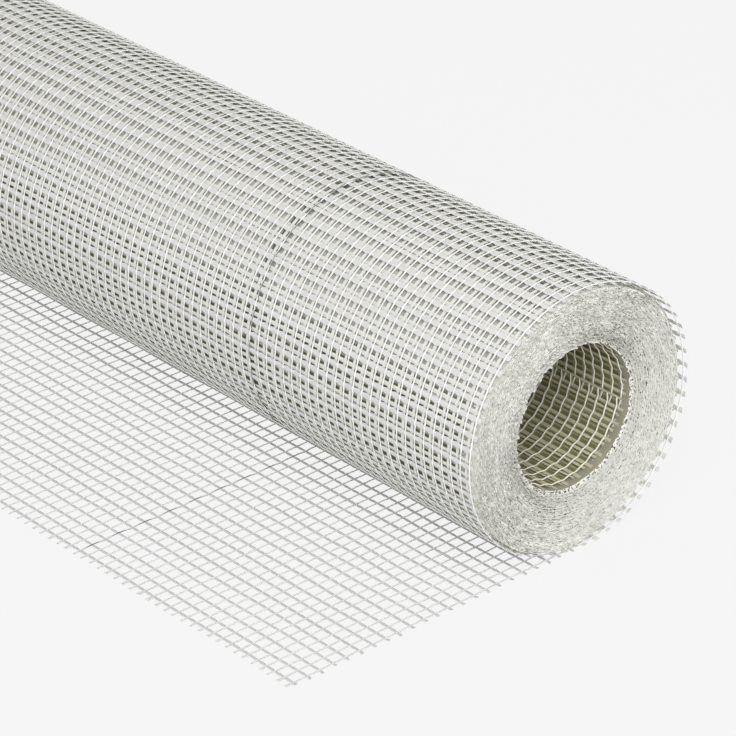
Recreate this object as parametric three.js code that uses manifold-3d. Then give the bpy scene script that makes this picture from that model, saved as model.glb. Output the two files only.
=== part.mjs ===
// A roll of coated fiberglass mesh lying on its side, with its free end run out flat in front of it.
// Millimetres, +Z up, X along the roll, and the free end towards -Y.
// The origin is at the middle of the footprint, on the surface that the roll lies on.
//
// The web is one continuous strip. Its tightly wound turns are a turned body with an open bore.
// The last turn is the same strip: it stands a little loose at the back, passes under the roll and
// becomes the flat free end. The openings of the mesh, 4 x 5 mm, are too fine to be cut here.
import * as THREE from "three";
import { mergeVertices } from "three/addons/utils/BufferGeometryUtils.js";
import Module from "manifold-3d";

// The web: its full width over the cut ends of the wefts, and its thickness where two yarns cross
const webWidth = 1000;
const webThickness = 0.5;

// The wound turns
const boreRadius = 23;
const woundRadius = 45;

// The free end, from below the roll's axis to the tips of its cut yarns
const freeEndLength = 117;

// How far the last turn stands off the wound turns at the back, and where it leaves and rejoins
// them, as angles from the bottom of the roll
const looseGap = 2;
const looseRise = 0.55;
const looseHold = 1.75;
const looseClose = 3.0;

// The turns on an end show as rings that stand a little in or out of line with each other
const ringCount = 11;
const ringPitch = (woundRadius - boreRadius) / ringCount;
const ringScatter = 1.2;
const ringTurnAngle = 2.4;

// How deep the last turn bites into the wound turns where it lies on them
const bondDepth = 0.2;

// Flats around the roll
const facets = 64;

const axisHeight = woundRadius + webThickness;
const halfWidth = webWidth / 2;

// A ramp from 0 to 1 that starts and ends level
function easeBetween(from, to, value) {
  const share = THREE.MathUtils.clamp((value - from) / (to - from), 0, 1);
  return share * share * (3 - 2 * share);
}

// The share of the gap that is open at an angle from the bottom, counted up the back of the roll
function looseShare(angle) {
  return easeBetween(0, looseRise, angle) - easeBetween(looseHold, looseClose, angle);
}

// The outside of the last turn. It is a spiral, and comes down by one thickness in a turn
function lastTurnRadius(angle) {
  const spiral = webThickness * (1 - angle / (2 * Math.PI));
  return woundRadius + spiral + looseGap * looseShare(angle);
}

// The inside of the last turn: clear of the wound turns where it is loose, and just in them elsewhere
function lastTurnInnerRadius(angle) {
  const open = looseShare(angle);
  return (woundRadius - bondDepth) * (1 - open) + (lastTurnRadius(angle) - webThickness) * open;
}

// A point of the section, across and up, at a radius and an angle from the bottom of the roll
function sectionPoint(radius, angle) {
  return new THREE.Vector2(radius * Math.sin(angle), axisHeight - radius * Math.cos(angle));
}

// The points of a turn, one for each facet
function turnPoints(radiusAt) {
  const points = [];
  for (let step = 0; step < facets; step += 1) {
    const angle = (step * 2 * Math.PI) / facets;
    points.push(sectionPoint(radiusAt(angle), angle));
  }
  return points;
}

// How far a ring of turns stands in from the end of the web. The outermost ring is flush
function ringInset(ring) {
  return ringScatter * 0.5 * (1 - Math.cos((ringCount - 1 - ring) * ringTurnAngle));
}

// The wound turns: a profile of stepped rings at both ends, turned about the roll's axis
function woundTurns() {
  const nearEnd = [];
  for (let ring = 0; ring < ringCount; ring += 1) {
    const face = halfWidth - ringInset(ring);
    nearEnd.push(new THREE.Vector2(boreRadius + ring * ringPitch, face));
    nearEnd.push(new THREE.Vector2(boreRadius + (ring + 1) * ringPitch, face));
  }
  const farEnd = nearEnd.map((point) => new THREE.Vector2(point.x, -point.y)).reverse();
  const profile = [...farEnd, ...nearEnd].reverse();
  profile.push(profile[0].clone());
  const geometry = new THREE.LatheGeometry(profile, facets);
  geometry.rotateZ(-Math.PI / 2);
  geometry.translate(0, 0, axisHeight);
  return geometry;
}

// The last turn and the free end: one section, extruded over the width of the web
function lastTurnAndFreeEnd() {
  const [lowest, ...rising] = turnPoints(lastTurnRadius);
  const section = new THREE.Shape([
    new THREE.Vector2(-freeEndLength, 0),
    lowest,
    ...rising,
    sectionPoint(woundRadius, 2 * Math.PI),
    new THREE.Vector2(-freeEndLength, webThickness),
  ]);
  section.holes.push(new THREE.Path(turnPoints(lastTurnInnerRadius)));
  const geometry = new THREE.ExtrudeGeometry(section, { depth: webWidth, bevelEnabled: false });
  geometry.translate(0, 0, -halfWidth);
  const acrossToY = new THREE.Matrix4().makeBasis(
    new THREE.Vector3(0, 1, 0),
    new THREE.Vector3(0, 0, 1),
    new THREE.Vector3(1, 0, 0),
  );
  return geometry.applyMatrix4(acrossToY);
}

const wasm = await Module();
wasm.setup();

// A closed geometry as a solid that can be joined
function solidFrom(geometry) {
  const bare = new THREE.BufferGeometry();
  const loose = geometry.index ? geometry.toNonIndexed() : geometry;
  bare.setAttribute("position", loose.getAttribute("position"));
  const merged = mergeVertices(bare, 1e-4);
  const mesh = new wasm.Mesh({
    numProp: 3,
    vertProperties: merged.getAttribute("position").array,
    triVerts: new Uint32Array(merged.index.array),
  });
  return new wasm.Manifold(mesh);
}

// A joined solid as a geometry
function geometryFrom(solid) {
  const mesh = solid.getMesh();
  const geometry = new THREE.BufferGeometry();
  geometry.setAttribute("position", new THREE.BufferAttribute(mesh.vertProperties, 3));
  geometry.setIndex(new THREE.BufferAttribute(mesh.triVerts, 1));
  return geometry;
}

const webMaterial = new THREE.MeshStandardMaterial({
  color: new THREE.Color(0xdcdbd2),
  roughness: 0.55,
  metalness: 0,
});

const rollGeometry = geometryFrom(solidFrom(woundTurns()).add(solidFrom(lastTurnAndFreeEnd())));
const meshRoll = new THREE.Mesh(rollGeometry, webMaterial);
meshRoll.name = "mesh_roll";

// The roll's axis stands back from the origin by half of what the free end reaches further forward
rollGeometry.computeBoundingBox();
const { min, max } = rollGeometry.boundingBox;
meshRoll.position.set(0, -(min.y + max.y) / 2, 0);

const part = new THREE.Group();
part.add(meshRoll);

export default part;
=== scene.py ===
import math

import bpy
import numpy as np
from mathutils import Matrix, Vector


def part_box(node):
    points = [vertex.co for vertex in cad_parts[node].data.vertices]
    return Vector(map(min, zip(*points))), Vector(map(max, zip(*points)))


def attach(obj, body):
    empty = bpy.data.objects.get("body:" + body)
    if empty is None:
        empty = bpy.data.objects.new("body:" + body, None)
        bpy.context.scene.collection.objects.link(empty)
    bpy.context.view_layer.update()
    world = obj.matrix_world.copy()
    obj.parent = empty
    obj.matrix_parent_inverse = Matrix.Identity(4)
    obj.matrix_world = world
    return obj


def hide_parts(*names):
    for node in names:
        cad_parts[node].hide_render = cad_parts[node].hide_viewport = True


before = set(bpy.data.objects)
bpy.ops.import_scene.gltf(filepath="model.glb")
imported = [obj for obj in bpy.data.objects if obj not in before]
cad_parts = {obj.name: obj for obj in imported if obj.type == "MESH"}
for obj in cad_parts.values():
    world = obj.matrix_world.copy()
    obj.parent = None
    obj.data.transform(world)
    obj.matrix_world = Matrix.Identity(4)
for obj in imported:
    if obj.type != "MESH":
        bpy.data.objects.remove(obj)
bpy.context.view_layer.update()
roll_low, roll_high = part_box("mesh_roll")


# Camera. It looks down on the near end of the roll from the side of the free end, through a long
# lens, as the photograph was taken.
camera_place = (1.2280, -0.7166, 0.6310)
camera_azimuth = math.radians(47.626)
camera_elevation = math.radians(28.5)
camera_tilt = math.radians(0.326)
camera_sensor = 36.0
camera_focal_pixels = 3947.0
photo_pixels = 736.0

camera_data = bpy.data.cameras.new("photo_camera")
camera_data.sensor_width = camera_sensor
camera_data.lens = camera_sensor * camera_focal_pixels / photo_pixels
camera_data.clip_end = 20.0
camera = bpy.data.objects.new("photo_camera", camera_data)
camera.matrix_world = (
    Matrix.Translation(camera_place)
    @ Matrix.Rotation(camera_azimuth, 4, "Z")
    @ Matrix.Rotation(math.pi / 2 - camera_elevation, 4, "X")
    @ Matrix.Rotation(camera_tilt, 4, "Z")
)
bpy.context.scene.collection.objects.link(camera)
bpy.context.scene.camera = camera


# The web. It is one strip of open mesh, 1 m wide and 10 m long: flat on the floor from its cut end
# to below the roll, then up the back and round, 46 turns inwards to the bore. Its yarns cross at a
# table of places, one for each warp and weft, so every turn is the same cloth in another place.
web_width = roll_high.x - roll_low.x
wound_radius = 0.04485
bore_radius = 0.023
free_end_length = 0.117
web_thickness = 0.0005
web_lift = 0.00009
turn_pitch = 0.00046
loose_gap = 0.0020
loose_rise = 0.55
loose_hold = 1.75
loose_close = 3.0
inner_end_angle = math.radians(93.0)

axis_height = 0.0455
axis_y = roll_low.y + free_end_length
axis_z = axis_height + web_lift

warp_pitch = 0.0040
warp_count = 250
weft_pitch = 0.005152
weft_stub = 0.0018
warp_stub = 0.0027
core_rise = 0.0013
core_forward = -0.0008
core_start = 0.06
bore_setback = 0.0042
weft_scatter = 0.00012
weft_drift = 0.00016
warp_drift = 0.00010
turn_wander = 0.0003
slack_shift = 0.0004

full_turns = int((wound_radius - web_thickness / 2 - bore_radius) / turn_pitch)
last_angle = 2 * math.pi * full_turns + inner_end_angle


def ease(start, end, value):
    """A ramp from 0 to 1 that starts and ends level."""
    share = np.clip((value - start) / (end - start), 0, 1)
    return share * share * (3 - 2 * share)


def web_radius(angle):
    """Radius of the web's middle at an angle from the bottom of the roll, counted up the back.

    The last turn falls by one web thickness, plus the gap where it stands loose. The wound turns
    then fall evenly, by one turn pitch in each turn.
    """
    turns = angle / (2 * np.pi)
    spare = ease(0, loose_rise, angle) - ease(loose_hold, loose_close, angle)
    last_turn = web_thickness * (0.5 - np.minimum(turns, 1)) + loose_gap * spare
    return wound_radius + last_turn - turn_pitch * np.maximum(turns - 1, 0)


path_angle = np.linspace(0, last_angle, 60000)
path_radius = web_radius(path_angle)
path_steps = np.hypot(np.diff(path_radius), path_radius[1:] * np.diff(path_angle))
path_arc = np.concatenate([[0], np.cumsum(path_steps)])


def place(x, arc, height):
    """Points at x across the web, at a length along it and at a height off its middle.

    Length is counted from below the roll's axis: the free end is where it is negative, and lies
    flat. Elsewhere the point stands at the web's radius plus the height, at the path's angle. The
    middle of the turns moves evenly from the axis to that of the bore, which lies off it, and
    starts to a little way in.
    """
    angle = np.interp(arc, path_arc, path_angle)
    radius = np.interp(arc, path_arc, path_radius) + height
    flat = np.minimum(arc, 0)
    core_share = np.clip(angle / last_angle * (1 + core_start) - core_start, 0, 1)
    y = axis_y + core_forward * core_share + flat + radius * np.sin(angle)
    z = axis_z + core_rise * core_share - radius * np.cos(angle)
    return np.stack(np.broadcast_arrays(x, y, z), -1)


def directions(arc):
    """The directions along the web and off its outer face, at a length along it."""
    angle = np.interp(arc, path_arc, path_angle)
    none = np.zeros_like(angle)
    along = np.stack([none, np.cos(angle), np.sin(angle)], -1)
    outward = np.stack([none, np.sin(angle), -np.cos(angle)], -1)
    return along, outward


def drift(position, seed, count, reach, shortest):
    """The slow sideways drift of each of a number of yarns, the sum of three sine waves each.

    The sum is scaled by the 1.7 that three waves usually reach. Row n of the result is yarn n, at
    all the positions along it.
    """
    random = np.random.default_rng(seed)
    wave = shortest * random.uniform(1, 3, (3, count, 1))
    phase = random.uniform(0, 2 * np.pi, (3, count, 1))
    return reach * np.sin(2 * np.pi * position / wave + phase).sum(0) / 1.7


weft_first = warp_stub - free_end_length
weft_count = int((path_arc[-1] - weft_first) / weft_pitch) + 1
warp_x = web_width / 2 - weft_stub - warp_pitch * np.arange(warp_count)
weft_arc = weft_first + weft_pitch * np.arange(weft_count)
weft_arc[1:] += np.random.default_rng(5).normal(0, weft_scatter, weft_count - 1)

# Each crossing's place across and along the web: the even grid, the drift of its own warp and weft,
# and the sway of the whole web sideways as it was wound, which the outer turns show most
weft_turn = np.interp(weft_arc, path_arc, path_angle) / (2 * np.pi)
sway_turns = [0.8, 1.4, 1.63, 1.72, 1.9, 2.4, 2.63, 2.72, 2.9, 3.6]
sway_mm = [0, -1.75, -1.75, -1.5, -1.5, -2.6, -2.6, -2.1, -2.1, 0]
web_sway = 0.001 * np.interp(weft_turn, sway_turns, sway_mm)
web_sway -= bore_setback * ease(full_turns - 2.5, full_turns - 1.5, weft_turn)
web_sway += drift(weft_arc, 6, 1, turn_wander, 0.25)[0] * ease(2, 4, weft_turn)
weft_arc -= slack_shift * (ease(1.60, 1.72, weft_turn) - ease(1.85, 1.97, weft_turn))
crossing_x = warp_x[:, None] + drift(weft_arc, 7, warp_count, warp_drift, 0.016) + web_sway
crossing_arc = weft_arc + drift(warp_x, 8, weft_count, weft_drift, 0.030).T


def between(table, columns, rows):
    """The crossing table at fractions of a column and a row, carried on evenly past its edges."""
    column = np.clip(np.floor(columns).astype(int), 0, warp_count - 2)[:, None]
    row = np.clip(np.floor(rows).astype(int), 0, weft_count - 2)[None]
    u = columns[:, None] - column
    v = rows[None] - row
    near = table[column, row] * (1 - v) + table[column, row + 1] * v
    far = table[column + 1, row] * (1 - v) + table[column + 1, row + 1] * v
    return near * (1 - u) + far * u


def rows_at(arc_from, arc_to):
    """The first weft at or past one length along the web and the first at or past another."""
    return tuple(int(np.searchsorted(weft_arc, arc)) for arc in (arc_from, arc_to))


def arc_of_turn(turn):
    """The length along the web at which a turn starts, below the roll's axis. Turn 0 is the last."""
    return float(np.interp(2 * np.pi * turn, path_angle, path_arc))


def yarn_mesh(
    name, centre, across, up, half_width, half_height, sides, along, crossing, tone, smooth=False
):
    """A mesh of closed yarns with a point, a width and a height at each station along them.

    Each station is an ellipse of a few points, half_width wide along across and half_height high
    along up. The ellipses are joined in turn and the two ends are capped. The UV map holds the
    length along the yarn and the share of the way round it.
    """
    count, stations = centre.shape[:2]
    half_width, half_height, along, crossing, tone = (
        np.broadcast_to(value, (count, stations))
        for value in (half_width, half_height, along, crossing, tone)
    )
    turn = 2 * np.pi * np.arange(sides) / sides + (np.pi / 6 if sides == 3 else 0)
    ring = centre[:, :, None] + across[:, :, None] * (half_width[..., None] * np.cos(turn))[..., None]
    ring = ring + up[:, :, None] * (half_height[..., None] * np.sin(turn))[..., None]

    side = np.arange(sides)
    first = (np.arange(count)[:, None, None] * stations + np.arange(stations - 1)[:, None]) * sides
    quads = np.stack([first + side, first + (side + 1) % sides], -1)
    quads = np.concatenate([quads, quads[..., ::-1] + sides], -1).reshape(-1, 4)
    start = np.arange(count)[:, None] * stations * sides + side
    start_caps = start[:, ::-1]
    end_caps = start + (stations - 1) * sides

    u0, u1 = (np.repeat(part.reshape(-1), sides) for part in (along[:, :-1], along[:, 1:]))
    v0 = np.tile(side / sides, count * (stations - 1))
    v1 = v0 + 1 / sides
    side_uv = np.stack([u0, v0, u0, v1, u1, v1, u1, v0], -1).reshape(-1, 4, 2)
    cap_uv = [np.stack(np.broadcast_arrays(along[:, [k]], side / sides), -1) for k in (0, -1)]

    travel = centre[:, 1:] - centre[:, :-1]
    if (np.cross(across[:, :-1], up[:, :-1]) * travel).sum() < 0:
        quads, start_caps, end_caps = quads[:, ::-1], start_caps[:, ::-1], end_caps[:, ::-1]
        side_uv, cap_uv = side_uv[:, ::-1], [part[:, ::-1] for part in cap_uv]

    loops = np.concatenate([quads.ravel(), start_caps.ravel(), end_caps.ravel()])
    uv = np.concatenate([side_uv.reshape(-1, 2), cap_uv[0].reshape(-1, 2), cap_uv[1].reshape(-1, 2)])
    sizes = np.concatenate([np.full(len(quads), 4), np.full(2 * count, sides)])
    mesh = bpy.data.meshes.new(name)
    mesh.vertices.add(count * stations * sides)
    mesh.vertices.foreach_set("co", ring.astype(np.float32).ravel())
    mesh.loops.add(len(loops))
    mesh.loops.foreach_set("vertex_index", loops.astype(np.int32))
    mesh.polygons.add(len(sizes))
    mesh.polygons.foreach_set("loop_start", (np.cumsum(sizes) - sizes).astype(np.int32))
    mesh.polygons.foreach_set("use_smooth", np.full(len(sizes), smooth))
    mesh.uv_layers.new(name="yarn").data.foreach_set("uv", uv.astype(np.float32).ravel())
    for attribute, value in (("crossing", crossing), ("tone", tone)):
        spread = np.repeat(value.reshape(-1), sides).astype(np.float32)
        mesh.attributes.new(attribute, "FLOAT", "POINT").data.foreach_set("value", spread)
    mesh.update(calc_edges=True)
    mesh.validate()
    return mesh


def joined(name, *meshes):
    """One object out of several meshes that are part of the same piece."""
    objects = [bpy.data.objects.new(name, mesh) for mesh in meshes]
    for part in objects:
        bpy.context.scene.collection.objects.link(part)
    if len(objects) > 1:
        with bpy.context.temp_override(
            active_object=objects[0], selected_editable_objects=objects, selected_objects=objects
        ):
            bpy.ops.object.join()
    return objects[0]


def show(name, meshes, *materials):
    """Puts a piece's meshes in the scene as one object of the roll, with its material."""
    piece = joined(name, *meshes)
    piece.name = piece.data.name = name
    for material in materials:
        piece.data.materials.append(material)
    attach(piece, "root")
    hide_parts("mesh_roll")


# Yarn finish. Bundles of glass filaments dipped in a milky resin that sets satin, a little thicker
# and glossier where two yarns are bonded. The filaments show through as streaks along the yarn.
streak_size = (260, 7, 1)
streak_level = 0.35
streak_strength = 1.6
clump_scale = 420.0
clump_level = 0.45
clump_strength = 0.35
crossing_brightness = 0.12
plain_roughness = 0.56
streak_roughness = 0.12
streak_depth = 0.0001


def new_group(name, inputs, outputs):
    """An empty shader group with named sockets, and its input and output nodes."""
    group = bpy.data.node_groups.new(name, "ShaderNodeTree")
    for socket, kind, value in inputs:
        made = group.interface.new_socket(socket, in_out="INPUT", socket_type=kind)
        made.default_value = value
    for socket, kind in outputs:
        group.interface.new_socket(socket, in_out="OUTPUT", socket_type=kind)
    return group, group.nodes.new("NodeGroupInput"), group.nodes.new("NodeGroupOutput")


def math_node(group, operation, first, second):
    """A Math node, each side of which is a socket or a number."""
    node = group.nodes.new("ShaderNodeMath")
    node.operation = operation
    for socket, value in zip(node.inputs, (first, second)):
        if isinstance(value, (int, float)):
            socket.default_value = value
        else:
            group.links.new(value, socket)
    return node.outputs[0]


def noise_node(group, vector, scale, detail):
    """A noise between 0 and 1 at a vector."""
    node = group.nodes.new("ShaderNodeTexNoise")
    node.inputs["Scale"].default_value = scale
    node.inputs["Detail"].default_value = detail
    group.links.new(vector, node.inputs["Vector"])
    return node.outputs["Fac"]


def mix_node(group, blend, share, first, second):
    """A colour mix, whose share and colours are sockets or values."""
    node = group.nodes.new("ShaderNodeMix")
    node.data_type = "RGBA"
    node.blend_type = blend
    node.clamp_result = True
    for socket, value in ((node.inputs[0], share), (node.inputs[6], first), (node.inputs[7], second)):
        if isinstance(value, bpy.types.NodeSocket):
            group.links.new(value, socket)
        else:
            socket.default_value = value
    return node.outputs[2]


coating, given, made = new_group(
    "resin_coated_filaments",
    [
        ("Colour", "NodeSocketColor", (0.75, 0.75, 0.7, 1)),
        ("Streak And Shade Colour", "NodeSocketColor", (0.4, 0.4, 0.3, 1)),
        ("Streaks", "NodeSocketFloat", 0.5),
        ("Gloss", "NodeSocketFloat", 0.2),
    ],
    [("Colour", "NodeSocketColor"), ("Roughness", "NodeSocketFloat"), ("Height", "NodeSocketFloat")],
)
uv_node = coating.nodes.new("ShaderNodeUVMap")
uv_node.uv_map = "yarn"
streak_scale = coating.nodes.new("ShaderNodeMapping")
streak_scale.inputs["Scale"].default_value = streak_size
coating.links.new(uv_node.outputs[0], streak_scale.inputs["Vector"])
streaks = noise_node(coating, streak_scale.outputs[0], 1.0, 3.0)
object_place = coating.nodes.new("ShaderNodeTexCoord").outputs["Object"]
clumps = noise_node(coating, object_place, clump_scale, 2.0)
at_crossing = coating.nodes.new("ShaderNodeAttribute")
at_crossing.attribute_name = "crossing"
yarn_tone = coating.nodes.new("ShaderNodeAttribute")
yarn_tone.attribute_name = "tone"
# Share of the darker colour: filament streaks, clumps and each yarn's tone, which holds a random tone and
# the free end's painted shade, less at crossings.
streak_share = math_node(coating, "SUBTRACT", streaks, streak_level)
streak_share = math_node(coating, "MULTIPLY", streak_share, given.outputs["Streaks"])
streak_share = math_node(coating, "MULTIPLY", streak_share, streak_strength)
clump_share = math_node(coating, "SUBTRACT", clumps, clump_level)
clump_share = math_node(coating, "MULTIPLY", clump_share, clump_strength)
tone_share = math_node(coating, "ADD", streak_share, clump_share)
tone_share = math_node(coating, "ADD", tone_share, yarn_tone.outputs["Fac"])
crossing_share = math_node(coating, "MULTIPLY", at_crossing.outputs["Fac"], crossing_brightness)
tone_share = math_node(coating, "SUBTRACT", tone_share, crossing_share)
coated = mix_node(coating, "MIX", tone_share, given.outputs["Colour"], given.outputs["Streak And Shade Colour"])
coating.links.new(coated, made.inputs["Colour"])
rough = math_node(coating, "MULTIPLY", at_crossing.outputs["Fac"], given.outputs["Gloss"])
rough = math_node(coating, "SUBTRACT", plain_roughness, rough)
rough = math_node(coating, "ADD", rough, math_node(coating, "MULTIPLY", streaks, streak_roughness))
coating.links.new(rough, made.inputs["Roughness"])
coating.links.new(streaks, made.inputs["Height"])


def yarn_finish(name, colour, streak_and_shade_colour, streaks, gloss):
    """A material of resin coated filaments, light, with a darker colour for streaks and painted shade."""
    material = bpy.data.materials.new(name)
    material.use_nodes = True
    tree = material.node_tree
    surface = tree.nodes["Principled BSDF"]
    surface.inputs["IOR"].default_value = 1.5
    group = tree.nodes.new("ShaderNodeGroup")
    group.node_tree = coating
    group.inputs["Colour"].default_value = (*colour, 1)
    group.inputs["Streak And Shade Colour"].default_value = (*streak_and_shade_colour, 1)
    group.inputs["Streaks"].default_value = streaks
    group.inputs["Gloss"].default_value = gloss
    bump = tree.nodes.new("ShaderNodeBump")
    bump.inputs["Strength"].default_value = 0.5
    bump.inputs["Distance"].default_value = streak_depth
    tree.links.new(group.outputs["Colour"], surface.inputs["Base Color"])
    tree.links.new(group.outputs["Roughness"], surface.inputs["Roughness"])
    tree.links.new(group.outputs["Height"], bump.inputs["Height"])
    tree.links.new(bump.outputs["Normal"], surface.inputs["Normal"])
    return material


# Wefts of the last turn and the free end. Flat bundles across the whole width of the web, pinched
# where the warps bind them and fanned out between, with blunt cut stubs past the last warp.
weft_half_width = 0.00050
weft_half_height = 0.00015
weft_pinch = 0.00013
tip_lean = 0.00016
tip_lift = 0.00010
# Share towards the darker yarn colour for the free end: a painted shade on the yarns that lie on the
# floor.
free_end_painted_shade = 0.7
detailed_columns = 78
stub_share = weft_stub / warp_pitch
weft_finish = yarn_finish("coated_weft", (0.70, 0.70, 0.675), (0.51, 0.51, 0.505), 0.7, 0.22)


def column_stations(detailed, step, plain_step):
    """Stations along a weft, in columns: the near stub, close ones, wide ones and the far stub.

    The wide ones stand a quarter column past a warp, where the weft has its mean width.
    """
    close = np.arange(0, detailed, step)
    wide = np.arange(detailed + 0.25, warp_count - 1, plain_step)
    stubs = np.array([0.5, 1.0]) * stub_share
    return np.concatenate([-stubs[::-1], close, wide, [warp_count - 1], warp_count - 1 + stubs])


def wefts(name, first_row, last_row, columns, sides, seed, spread=1.0):
    """Wefts as flat ellipses along x, narrow at whole columns and wide half way between them.

    The half width is its mean less the cosine of the share of a column. The stubs' tips get a
    random length, and bend a little along the web and off it. The wefts of the free end are drawn
    greyer, a painted shade on the yarns that lie on the floor.
    """
    random = np.random.default_rng(seed)
    rows = np.arange(first_row, last_row)
    x = between(crossing_x, columns, rows).T
    arc = between(crossing_arc, columns, rows).T
    height = np.zeros_like(arc)
    for tips, way in (((0, 1), 1), ((-1, -2), -1)):
        for share, tip in zip((1.0, 0.5), tips):
            x[:, tip] += share * way * random.uniform(-0.0003, 0.0002, len(rows))
            arc[:, tip] += share * random.normal(0, tip_lean, len(rows))
            height[:, tip] += share * random.normal(0, tip_lift, len(rows))
    along, outward = directions(arc)
    beat = np.cos(2 * np.pi * columns)
    inside = (columns >= 0) & (columns <= warp_count - 1)
    pinch = np.where(inside, beat, -0.6)
    half_width = weft_half_width - weft_pinch * pinch
    half_width = half_width * spread * random.uniform(0.92, 1.08, (len(rows), 1))
    half_height = weft_half_height * np.where(inside, 1 + 0.15 * beat, 0.9)
    near_crossing = np.where(inside, 0.5 + 0.5 * beat, 0)
    # A random tone for each weft, plus the painted shade of the free end.
    tone = random.normal(0, 0.06, (len(rows), 1)) + free_end_painted_shade * (arc < 0)
    return yarn_mesh(
        name, place(x, arc, height), along, outward, half_width, half_height,
        sides, x, near_crossing, tone,
    )


last_turn_end = arc_of_turn(1)
free_rows, last_turn_rows = rows_at(0, last_turn_end)
flat_stations = column_stations(detailed_columns, step=0.25, plain_step=2)
wound_stations = column_stations(detailed_columns, step=0.5, plain_step=2)
outer_wefts = [
    wefts("free_end", 0, free_rows, flat_stations, sides=4, seed=11),
    wefts("last_turn", free_rows, last_turn_rows, wound_stations, sides=4, seed=12, spread=1.6),
]
show("last_turn_wefts", outer_wefts, weft_finish)


# Warps of the last turn and the free end. Each is a pair of thin strands that hold every weft
# between them and swap sides after it, so that the pair runs in a fine zigzag. One pair 100 mm in
# from each edge has a dark strand, which marks how far the next strip overlaps.
strand_half_width = 0.00029
strand_half_height = 0.00014
strand_side = 0.00007
strand_height = 0.00017
strand_splay = 0.00022
marker_column = 25
marker_columns = (marker_column, warp_count - 1 - marker_column)
warp_finish = yarn_finish("coated_warp", (0.95, 0.95, 0.93), (0.60, 0.60, 0.59), 0.6, 0.26)


def warps(name, columns, rows, strand, sides, seed, swing=1.0, thickness=1.0):
    """Strands along the web, one for each column, at stations given in rows.

    Strand 1 is over the weft at each whole row and under its partner half way between, strand -1
    the other way round. Sideways it swings as the cosine of half the rows, to the other side at
    each weft. Past the first weft the cut ends splay. Only strands with more than three sides are
    shaded as round ones.
    """
    random = np.random.default_rng(seed)
    columns = np.asarray(columns, float)
    x = between(crossing_x, columns, rows)
    arc = between(crossing_arc, columns, rows)
    side = strand * strand_side * swing * np.cos(np.pi * rows)
    height = strand * strand_height * swing * (0.3 + 0.7 * np.cos(2 * np.pi * rows))
    cut = np.clip(-rows, 0, 1)
    splay = random.normal(0, strand_splay, (len(columns), 1)) + strand * 0.0002
    x = x + side + splay * cut / max(cut.max(), 1e-9)
    height = np.broadcast_to(np.where(cut > 0, -strand * 0.00002, height), x.shape)
    along, outward = directions(arc)
    across = np.zeros_like(along)
    across[..., 0] = 1
    near_crossing = np.clip(np.cos(2 * np.pi * rows), 0, 1) * (rows >= 0)
    half_width = strand_half_width * thickness * random.uniform(0.9, 1.1, (len(columns), 1))
    # A random tone for each warp, plus the painted shade of the free end.
    tone = random.normal(0, 0.05, (len(columns), 1)) + free_end_painted_shade * (arc < 0)
    return yarn_mesh(
        name, place(x, arc, height), across, outward, half_width, strand_half_height * thickness,
        sides, arc, near_crossing, tone, sides > 3,
    )


def row_stations(first_row, last_row, step):
    """Stations along a warp, in rows, with the cut stub if they start at the first weft."""
    inner = np.arange(first_row, last_row + step / 2, step)
    stub = warp_stub / weft_pitch
    return np.concatenate([[-stub, -stub / 2], inner]) if first_row == 0 else inner


near_columns = [c for c in range(detailed_columns) if c not in marker_columns]
far_columns = [c for c in range(detailed_columns, warp_count) if c not in marker_columns]
outer_rows = row_stations(0, last_turn_rows, 0.5)
near_warps = [
    warps("over", near_columns, outer_rows, strand=1, sides=4, seed=21),
    warps("under", near_columns, outer_rows, strand=-1, sides=4, seed=22),
]
show("last_turn_warps_near", near_warps, warp_finish)
far_rows = row_stations(0, last_turn_rows, 1)
far_warps = warps("single", far_columns, far_rows, strand=1, sides=4, seed=23, swing=0.6, thickness=1.4)
show("last_turn_warps_far", [far_warps], warp_finish)


# Marker threads. In each marked pair one strand is thin and dark. It comes to the face of the web at
# every other weft, and in the turns below it shows as a broader dark line in the openings.
marker_half_width = 0.00013
marker_half_height = 0.00012
marker_side = 0.00020
marker_lift = 0.00030
deep_marker_half_width = 0.00022
deep_marker_side = -0.00080
deep_marker_lift = 0.00005
marker_finish = yarn_finish(
    "dark_marker_thread", (0.050, 0.055, 0.060), (0.020, 0.022, 0.025), 0.6, 0.2
)
second_turn_end = arc_of_turn(2)
third_turn_end = arc_of_turn(3)
second_turn_rows, third_turn_rows = rows_at(second_turn_end, third_turn_end)
marker_rows = row_stations(0, last_turn_rows, 0.5)
deep_marker_rows = row_stations(last_turn_rows, third_turn_rows, 1)


def marker_threads(name, rows, half_width, lift, side):
    """Dark strands beside the marked pairs, up at even rows and down at odd ones by a cosine."""
    columns = np.array(marker_columns, float)
    x = between(crossing_x, columns, rows) + side
    arc = between(crossing_arc, columns, rows)
    height = lift * np.cos(np.pi * rows) * (rows >= 0)
    along, outward = directions(arc)
    across = np.zeros_like(along)
    across[..., 0] = 1
    return yarn_mesh(
        name, place(x, arc, height), across, outward, half_width, marker_half_height, 4, arc, 0.0, 0.0
    )


pair_strands = warps("over", marker_columns, marker_rows, strand=1, sides=4, seed=24)
show("marker_pair_strands", [pair_strands], warp_finish)
show(
    "marker_threads",
    [
        marker_threads("face", marker_rows, marker_half_width, marker_lift, marker_side),
        marker_threads(
            "deep", deep_marker_rows, deep_marker_half_width, deep_marker_lift, deep_marker_side
        ),
    ],
    marker_finish,
)


# The second and third turns. They are the same cloth, wound tight under the last turn. Only parts of
# their yarns show through its openings, and those are a little darker and less sharp. Their yarns
# share one finish, warmer than the last turn's and darker than its warps, as painted shade for the
# dimmer light under it.
deep_weft_spread = 1.36
second_warp_thickness = 2.3
third_warp_thickness = 1.8
shaded_deep_finish = yarn_finish("coated_yarn_below_painted_shade", (0.74, 0.74, 0.69), (0.54, 0.54, 0.49), 0.7, 0.1)


def plain_columns(step):
    """Stations along a hidden weft, in columns, close enough to follow its drift."""
    inside = np.arange(0, warp_count - 1, step)
    return np.concatenate([[-stub_share], inside, [warp_count - 1, warp_count - 1 + stub_share]])


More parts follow.
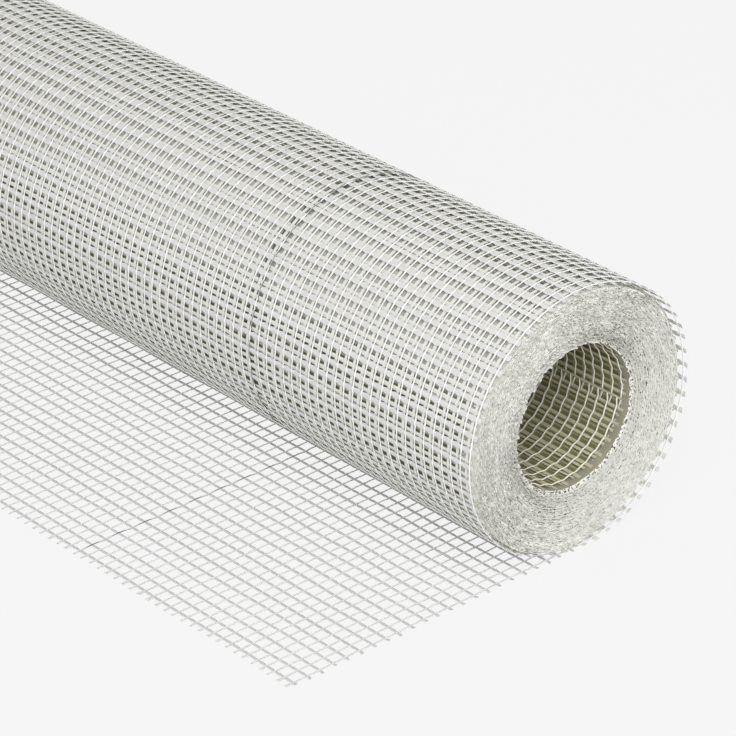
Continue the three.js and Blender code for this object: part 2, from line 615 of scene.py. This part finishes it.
def hidden_wefts(name, first_row, last_row, step, sides, seed):
    """Wefts of an even width, without the pinch at each crossing."""
    columns = plain_columns(step)
    rows = np.arange(first_row, last_row)
    x = between(crossing_x, columns, rows).T
    arc = between(crossing_arc, columns, rows).T
    along, outward = directions(arc)
    random = np.random.default_rng(seed)
    width = deep_weft_spread * weft_half_width * random.uniform(0.9, 1.1, (len(rows), 1))
    tone = random.normal(0.05, 0.08, (len(rows), 1))
    return yarn_mesh(
        name, place(x, arc, 0), along, outward, width, weft_half_height, sides, x, 0.3, tone
    )


all_columns = range(warp_count)
second_stations = row_stations(last_turn_rows, second_turn_rows, 1)
third_stations = row_stations(second_turn_rows, third_turn_rows, 2)
second_turn = [
    hidden_wefts("wefts", last_turn_rows, second_turn_rows, step=5, sides=4, seed=31),
    warps(
        "warps", all_columns, second_stations, strand=1, sides=3, seed=32,
        swing=0.6, thickness=second_warp_thickness,
    ),
]
show("second_turn_yarns", second_turn, shaded_deep_finish)
third_turn = [
    hidden_wefts("wefts", second_turn_rows, third_turn_rows, step=5, sides=3, seed=33),
    warps(
        "warps", all_columns, third_stations, strand=1, sides=3, seed=34,
        swing=0.6, thickness=third_warp_thickness,
    ),
]
show("third_turn_yarns", third_turn, shaded_deep_finish)


# The wound body. All the turns between those that can be seen, packed tight. Its outside and its
# bore show the grid of the turns below in their openings, and its ends the cut yarns between turns.
# On the outside the openings are painted dark as shade, and painted lighter round the front top and
# towards the near end, where light falls deeper into them.
body_outer = wound_radius - 3.0 * turn_pitch
body_inner = bore_radius + 2.4 * turn_pitch
body_half_length = web_width / 2 - 0.0010
body_facets = 180
end_rings = 92
end_relief = 0.00010
slit_depth = 0.00060
bore_end_step = 0.0008
mouth_depth = 0.0060
mouth_recess = 0.0009
edge_fill_from = 0.0085
edge_fill_to = 0.0070
# Where the openings are painted lighter, as painted light that falls deeper into them: round the front
# top of the roll and towards its near end.
lit_gap_angle = 2.5
lit_gap_reach = (0.30, 0.62)
lit_gap_length = (0.20, 0.42)
deep_marker_inset = 0.0040
deep_marker_blur = (0.001, 0.003)
slit_zone = (0.027, 0.036)
fibres_round = 30.0
fibres_out = 2100.0
fibres_deep = 400.0


def wound_ring(name, inner, outer, half_length):
    """A closed ring whose ends show its turns as ridges with slits between them.

    The profile goes out over the far end, along the outside, in over the near end and back along
    the bore, which is a little wider behind its two mouths. Each of its points is turned about a
    middle between the roll's axis and the bore's. On the ends every other ring is a slit, whose
    depth is a random one averaged over three steps round the roll, and every point gets a small
    random step along x. Towards the bore the ends stand in by a smooth ramp.
    """
    random = np.random.default_rng(61)
    radius = np.linspace(inner, outer, end_rings)
    radius = np.concatenate([radius, radius[::-1]])[:, None]
    x = np.repeat([-half_length, half_length], end_rings)[:, None]
    open_share = random.uniform(-0.3, 1, (2 * end_rings, body_facets))
    open_share = sum(np.roll(open_share, shift, 1) for shift in range(3)) / 3
    depth = slit_depth * np.clip(open_share, 0, 1) * (np.arange(2 * end_rings) % 2)[:, None]
    x = x - np.sign(x) * depth + random.uniform(-end_relief, end_relief, (2 * end_rings, body_facets))
    core_share = (outer - radius) / (outer - inner)
    x = x - np.sign(x) * bore_end_step * ease(0.65, 1.0, core_share)
    mouth = half_length - mouth_depth
    x = np.concatenate([x, np.full((1, body_facets), mouth), np.full((1, body_facets), -mouth)])
    radius = np.concatenate([radius, np.full((2, 1), inner + mouth_recess)])
    core_share = np.concatenate([core_share, np.ones((2, 1))])
    turn = 2 * np.pi * np.arange(body_facets) / body_facets
    y = axis_y + core_forward * core_share + radius * np.sin(turn)
    z = axis_z + core_rise * core_share - radius * np.cos(turn)

    rings = len(radius)
    ring, step = np.meshgrid(np.arange(rings), np.arange(body_facets), indexing="ij")
    next_ring, next_step = (ring + 1) % rings, (step + 1) % body_facets
    corners = [(ring, step), (ring, next_step), (next_ring, next_step), (next_ring, step)]
    faces = np.stack([r * body_facets + k for r, k in corners], -1).reshape(-1, 4)
    mesh = bpy.data.meshes.new(name)
    mesh.from_pydata(np.stack([x, y, z], -1).reshape(-1, 3).tolist(), [], faces.tolist())
    surface = np.zeros_like(ring)
    surface[end_rings - 1] = 1
    surface[2 * end_rings - 1:] = 2
    mesh.polygons.foreach_set("material_index", surface.ravel().astype(np.int32))
    mesh.polygons.foreach_set("use_smooth", (surface > 0).ravel())
    mesh.update()
    return mesh


polar, given, made = new_group(
    "place_round_the_roll",
    [("Middle Y", "NodeSocketFloat", axis_y), ("Middle Z", "NodeSocketFloat", axis_z)],
    [("Across", "NodeSocketFloat"), ("Angle", "NodeSocketFloat"), ("Radius", "NodeSocketFloat")],
)
parted = polar.nodes.new("ShaderNodeSeparateXYZ")
polar.links.new(polar.nodes.new("ShaderNodeTexCoord").outputs["Object"], parted.inputs[0])
off_y = math_node(polar, "SUBTRACT", parted.outputs["Y"], given.outputs["Middle Y"])
off_z = math_node(polar, "SUBTRACT", given.outputs["Middle Z"], parted.outputs["Z"])
squares = math_node(
    polar, "ADD", math_node(polar, "MULTIPLY", off_y, off_y), math_node(polar, "MULTIPLY", off_z, off_z)
)
polar.links.new(parted.outputs["X"], made.inputs["Across"])
polar.links.new(math_node(polar, "ARCTAN2", off_y, off_z), made.inputs["Angle"])
polar.links.new(math_node(polar, "SQRT", squares, 0.0), made.inputs["Radius"])


def ramp_node(group, value, low, high, start=0.0, end=1.0):
    """A smooth ramp of a value between a low and a high one."""
    node = group.nodes.new("ShaderNodeMapRange")
    node.interpolation_type = "SMOOTHSTEP"
    for socket, number in zip(("From Min", "From Max", "To Min", "To Max"), (low, high, start, end)):
        node.inputs[socket].default_value = number
    group.links.new(value, node.inputs["Value"])
    return node.outputs["Result"]


# The grid of the turns below: yarn lines over openings drawn dark as painted shade, lighter round the
# front top and towards the near end as painted light. The dark marker bands are the dark threads of the
# turns below, and at the edges the packed stubs fill the openings.
below, given, made = new_group(
    "grid_of_turns_below",
    [
        ("Yarn Colour", "NodeSocketColor", (0.6, 0.6, 0.5, 1)),
        ("Shaded Gap Colour", "NodeSocketColor", (0.1, 0.1, 0.05, 1)),
        ("Lit Gap Colour", "NodeSocketColor", (0.1, 0.1, 0.05, 1)),
        ("Edge Colour", "NodeSocketColor", (0.4, 0.4, 0.3, 1)),
        ("Wefts Round", "NodeSocketFloat", 53.0),
        ("Shift", "NodeSocketFloat", 0.0),
        ("Warp Shift", "NodeSocketFloat", 0.0),
    ],
    [("Colour", "NodeSocketColor")],
)
spot = below.nodes.new("ShaderNodeGroup")
spot.node_tree = polar
around = math_node(below, "MULTIPLY", spot.outputs["Angle"], given.outputs["Wefts Round"])
weft_wave = math_node(below, "COSINE", math_node(below, "ADD", around, given.outputs["Shift"]), 0.0)
across_shifted = math_node(below, "SUBTRACT", spot.outputs["Across"], given.outputs["Warp Shift"])
warp_wave = math_node(
    below, "COSINE", math_node(below, "MULTIPLY", across_shifted, 2 * math.pi / warp_pitch), 0.0
)
grid = math_node(
    below, "MAXIMUM", ramp_node(below, weft_wave, 0.55, 0.85), ramp_node(below, warp_wave, 0.6, 0.9)
)
# Painted light in the openings: round the front top of the roll and towards its near end they turn from
# the shaded colour to the lit one.
front_top = math_node(below, "ADD", spot.outputs["Angle"], lit_gap_angle)
front_top = math_node(below, "ABSOLUTE", front_top, 0.0)
lit_gaps = math_node(
    below,
    "MULTIPLY",
    ramp_node(below, front_top, *lit_gap_reach, 1.0, 0.0),
    ramp_node(below, spot.outputs["Across"], *lit_gap_length, 0.25, 1.0),
)
gap = mix_node(below, "MIX", lit_gaps, given.outputs["Shaded Gap Colour"], given.outputs["Lit Gap Colour"])
marker_off = math_node(below, "ABSOLUTE", spot.outputs["Across"], 0.0)
marker_place = web_width / 2 - deep_marker_inset - marker_column * warp_pitch
marker_off = math_node(below, "SUBTRACT", marker_off, marker_place)
marker_off = math_node(below, "ABSOLUTE", marker_off, 0.0)
marker_band = ramp_node(below, marker_off, *deep_marker_blur, 0.55, 1.0)
seen = mix_node(below, "MIX", grid, gap, given.outputs["Yarn Colour"])
from_middle = math_node(below, "ABSOLUTE", spot.outputs["Across"], 0.0)
at_edge = ramp_node(below, from_middle, web_width / 2 - edge_fill_from, web_width / 2 - edge_fill_to)
seen = mix_node(below, "MIX", at_edge, seen, given.outputs["Edge Colour"])
shade = below.nodes.new("ShaderNodeCombineColor")
for channel in shade.inputs:
    below.links.new(marker_band, channel)
below.links.new(mix_node(below, "MULTIPLY", 1.0, seen, shade.outputs[0]), made.inputs["Colour"])

# The body's ends: streaks of noise round the roll, the lowest of which are painted dark as shade in the
# slits between the turns, most towards the bore.
cut_ends, given, made = new_group(
    "packed_cut_ends",
    [
        ("Yarn Colour", "NodeSocketColor", (0.8, 0.8, 0.75, 1)),
        ("Slit Shade Colour", "NodeSocketColor", (0.3, 0.3, 0.2, 1)),
        ("Slits", "NodeSocketFloat", 0.8),
    ],
    [("Colour", "NodeSocketColor"), ("Height", "NodeSocketFloat")],
)
spot = cut_ends.nodes.new("ShaderNodeGroup")
spot.node_tree = polar
stretched = cut_ends.nodes.new("ShaderNodeCombineXYZ")
for axis, (output, times) in enumerate(
    (("Angle", fibres_round), ("Radius", fibres_out), ("Across", fibres_deep))
):
    scaled = math_node(cut_ends, "MULTIPLY", spot.outputs[output], times)
    cut_ends.links.new(scaled, stretched.inputs[axis])
fibres = noise_node(cut_ends, stretched.outputs[0], 1.0, 2.0)
# Painted shade in the slits, full inside a radius near the bore and weaker outside it.
near_bore = ramp_node(cut_ends, spot.outputs["Radius"], *slit_zone, 1.0, 0.6)
slits = ramp_node(cut_ends, fibres, 0.49, 0.41, 0.0, 1.0)
slits = math_node(cut_ends, "MULTIPLY", slits, given.outputs["Slits"])
slits = math_node(cut_ends, "MULTIPLY", slits, near_bore)
made_colour = mix_node(cut_ends, "MIX", slits, given.outputs["Yarn Colour"], given.outputs["Slit Shade Colour"])
cut_ends.links.new(made_colour, made.inputs["Colour"])
cut_ends.links.new(fibres, made.inputs["Height"])


def grouped_finish(name, group_tree, values):
    """A rough material whose colour, and bump if it has one, come from a group with given inputs."""
    material = bpy.data.materials.new(name)
    material.use_nodes = True
    tree = material.node_tree
    surface = tree.nodes["Principled BSDF"]
    surface.inputs["Roughness"].default_value = 0.85
    group = tree.nodes.new("ShaderNodeGroup")
    group.node_tree = group_tree
    for socket, value in values.items():
        group.inputs[socket].default_value = value
    tree.links.new(group.outputs["Colour"], surface.inputs["Base Color"])
    if "Height" in group.outputs:
        bump = tree.nodes.new("ShaderNodeBump")
        bump.inputs["Strength"].default_value = 0.4
        bump.inputs["Distance"].default_value = 0.0003
        tree.links.new(group.outputs["Height"], bump.inputs["Height"])
        tree.links.new(bump.outputs["Normal"], surface.inputs["Normal"])
    return material


# The ends: pale cut yarns with painted shade in the slits between turns.
end_finish = grouped_finish(
    "packed_ends_painted_slit_shade",
    cut_ends,
    {"Yarn Colour": (0.82, 0.82, 0.765, 1), "Slit Shade Colour": (0.09, 0.09, 0.065, 1), "Slits": 1.0},
)
# The body's outside: painted shade in the openings of the grid, and painted light in them round the front
# top and towards the near end.
outside_finish = grouped_finish(
    "turns_below_outside_painted_light_and_shade",
    below,
    {
        "Yarn Colour": (0.62, 0.62, 0.54, 1),
        "Shaded Gap Colour": (0.17, 0.175, 0.09, 1),
        "Edge Colour": (0.62, 0.62, 0.54, 1),
        "Lit Gap Colour": (0.62, 0.62, 0.57, 1),
        "Wefts Round": 53.0,
        "Shift": 0.0,
        "Warp Shift": 0.0,
    },
)
# The body's bore: the same grid with dark olive yarn, gap and edge colours, painted shade for the dim
# light inside the bore.
bore_finish = grouped_finish(
    "turns_behind_bore_painted_shade",
    below,
    {
        "Yarn Colour": (0.42, 0.40, 0.25, 1),
        "Shaded Gap Colour": (0.20, 0.20, 0.09, 1),
        "Edge Colour": (0.30, 0.29, 0.21, 1),
        "Lit Gap Colour": (0.22, 0.22, 0.10, 1),
        "Wefts Round": 58.0,
        "Shift": 0.5,
        "Warp Shift": 0.00106,
    },
)
show(
    "wound_body",
    [wound_ring("wound_body", body_inner, body_outer, body_half_length)],
    end_finish, outside_finish, bore_finish,
)


# The turns of the bore. The two innermost turns, seen from inside, where the warps stand out
# bright in front of the wefts. The web's inner end shows as a seam up the back.
# The bore's yarns are drawn in olive, dark for the wefts and a warm tint for the warps. Both are painted
# shade for the dim light inside the bore.
bore_weft_shaded_finish = yarn_finish(
    "coated_weft_of_bore_painted_shade", (0.62, 0.59, 0.43), (0.42, 0.40, 0.28), 0.8, 0.1
)
bore_warp_tinted_finish = yarn_finish(
    "coated_warp_of_bore_painted_tint", (0.96, 0.94, 0.84), (0.80, 0.78, 0.66), 0.5, 0.2
)
bore_rows_from, bore_rows_mid = rows_at(
    arc_of_turn(last_angle / (2 * np.pi) - 2), arc_of_turn(last_angle / (2 * np.pi) - 1)
)
bore_rows_to = weft_count - 1
seam_overlap_rows = 2
bore_detail = 30
bore_columns = np.concatenate([
    -np.array([1.0, 0.5]) * stub_share,
    np.arange(0, bore_detail, 0.5),
    np.arange(bore_detail + 0.25, warp_count - 1 - bore_detail, 5),
    np.arange(warp_count - 1 - bore_detail, warp_count - 0.75, 0.5),
    warp_count - 1 + np.array([0.5, 1.0]) * stub_share,
])
plain_warps = [c for c in range(warp_count) if c not in marker_columns]
bore_edge_warps = [c for c in plain_warps if c < bore_detail or c > warp_count - 1 - bore_detail]
bore_mid_warps = [c for c in plain_warps if bore_detail <= c <= warp_count - 1 - bore_detail]
bore_stations = row_stations(bore_rows_mid - seam_overlap_rows, bore_rows_to, 0.5)
bore_far_stations = row_stations(bore_rows_mid - seam_overlap_rows, bore_rows_to, 1)
show(
    "bore_turn_wefts",
    [
        wefts("inner", bore_rows_mid, bore_rows_to + 1, bore_columns, sides=4, seed=41, spread=0.8),
        hidden_wefts("behind", bore_rows_from, bore_rows_mid, step=6, sides=3, seed=42),
    ],
    bore_weft_shaded_finish,
)
show(
    "bore_turn_warps",
    [
        warps(
            "edge", bore_edge_warps, bore_stations, strand=-1, sides=4, seed=43,
            swing=2.0, thickness=1.2,
        ),
        warps(
            "middle", bore_mid_warps, bore_far_stations, strand=-1, sides=3, seed=45,
            swing=0.6, thickness=1.5,
        ),
    ],
    bore_warp_tinted_finish,
)


# The turns on the two ends. Every turn shows its last warp pair as a fine ring, and past it the
# cut stubs of its wefts.
near_stub_step = 0.35
stub_lean = 0.00045
stub_lift = 0.00012
end_yarn_finish = yarn_finish("coated_yarn_end", (0.79, 0.79, 0.75), (0.50, 0.50, 0.45), 0.9, 0.2)


def stubs(name, rows, end, seed):
    """Cut weft ends past the last warp: short flat ellipses that lean a little each their own way."""
    random = np.random.default_rng(seed)
    column = 0.0 if end > 0 else warp_count - 1.0
    base = column + end * 0.3
    columns = np.array([base, column - end * stub_share])
    x = between(crossing_x, columns, rows).T
    arc = between(crossing_arc, columns, rows).T
    x[:, 1] += end * random.uniform(-0.0012, -0.0001, len(rows))
    arc[:, 1] += random.normal(0, stub_lean, len(rows))
    height = np.zeros_like(arc)
    height[:, 1] += random.normal(0, stub_lift, len(rows))
    along, outward = directions(arc)
    width = weft_half_width * random.uniform(0.7, 1.5, (len(rows), 1))
    thick = weft_half_height * random.uniform(0.6, 1.1, (len(rows), 1))
    tone = random.normal(0.0, 0.22, (len(rows), 1))
    return yarn_mesh(name, place(x, arc, height), along, outward, width, thick, 3, x, 0.0, tone)


end_rows = np.arange(second_turn_rows, bore_rows_from)
near_end_rows = np.arange(second_turn_rows, bore_rows_from, near_stub_step)
end_stations = row_stations(second_turn_rows, bore_rows_from, 0.5)
show(
    "near_end_turns",
    [
        warps("ring", [-0.2], end_stations, strand=1, sides=3, seed=51, swing=1.0, thickness=0.7),
        stubs("stubs", near_end_rows, end=1, seed=53),
    ],
    end_yarn_finish,
)
show(
    "far_end_turns",
    [
        warps(
            "ring", [warp_count - 1], end_stations, strand=1, sides=3, seed=54,
            swing=1.0, thickness=1.3,
        ),
        stubs("stubs", end_rows, end=-1, seed=55),
    ],
    end_yarn_finish,
)


# Floor and light. A plain pale floor that glows evenly, in a white studio. One broad lamp stands
# above the near end on the camera's side, and a weak one past the near end at the back.
floor_tone = (0.90, 0.90, 0.90, 1)
floor_glow = 0.96
floor_reach = 6.0
studio_light = 0.60
floor_mesh = bpy.data.meshes.new("floor")
floor_mesh.from_pydata(
    [(sx * floor_reach, sy * floor_reach, 0.0) for sx, sy in ((-1, -1), (1, -1), (1, 1), (-1, 1))],
    [], [(0, 1, 2, 3)],
)
floor = bpy.data.objects.new("floor", floor_mesh)
bpy.context.scene.collection.objects.link(floor)
floor_finish = bpy.data.materials.new("pale_floor")
floor_finish.use_nodes = True
floor_surface = floor_finish.node_tree.nodes["Principled BSDF"]
floor_surface.inputs["Base Color"].default_value = (0.05, 0.05, 0.05, 1)
floor_surface.inputs["Roughness"].default_value = 1.0
floor_surface.inputs["Specular IOR Level"].default_value = 0.0
floor_surface.inputs["Emission Color"].default_value = floor_tone
floor_surface.inputs["Emission Strength"].default_value = floor_glow
floor_mesh.materials.append(floor_finish)

world = bpy.data.worlds.new("studio")
bpy.context.scene.world = world
world.use_nodes = True
world.node_tree.nodes["Background"].inputs["Color"].default_value = (1, 1, 1, 1)
world.node_tree.nodes["Background"].inputs["Strength"].default_value = studio_light


def area_lamp(name, size, watts, stand, aim):
    """A square lamp that stands at one place and shines at another."""
    lamp_data = bpy.data.lights.new(name, "AREA")
    lamp_data.size = size
    lamp_data.energy = watts
    lamp = bpy.data.objects.new(name, lamp_data)
    lamp.location = stand
    lamp.rotation_euler = (Vector(stand) - Vector(aim)).to_track_quat("Z", "Y").to_euler()
    bpy.context.scene.collection.objects.link(lamp)


area_lamp("key", size=1.0, watts=11.3, stand=(1.15, -0.50, 0.92), aim=(0.40, 0.03, 0.05))
area_lamp("fill", size=0.6, watts=1.6, stand=(1.55, 0.50, 0.40), aim=(0.50, 0.03, 0.05))

bpy.context.scene.view_settings.view_transform = "Standard"
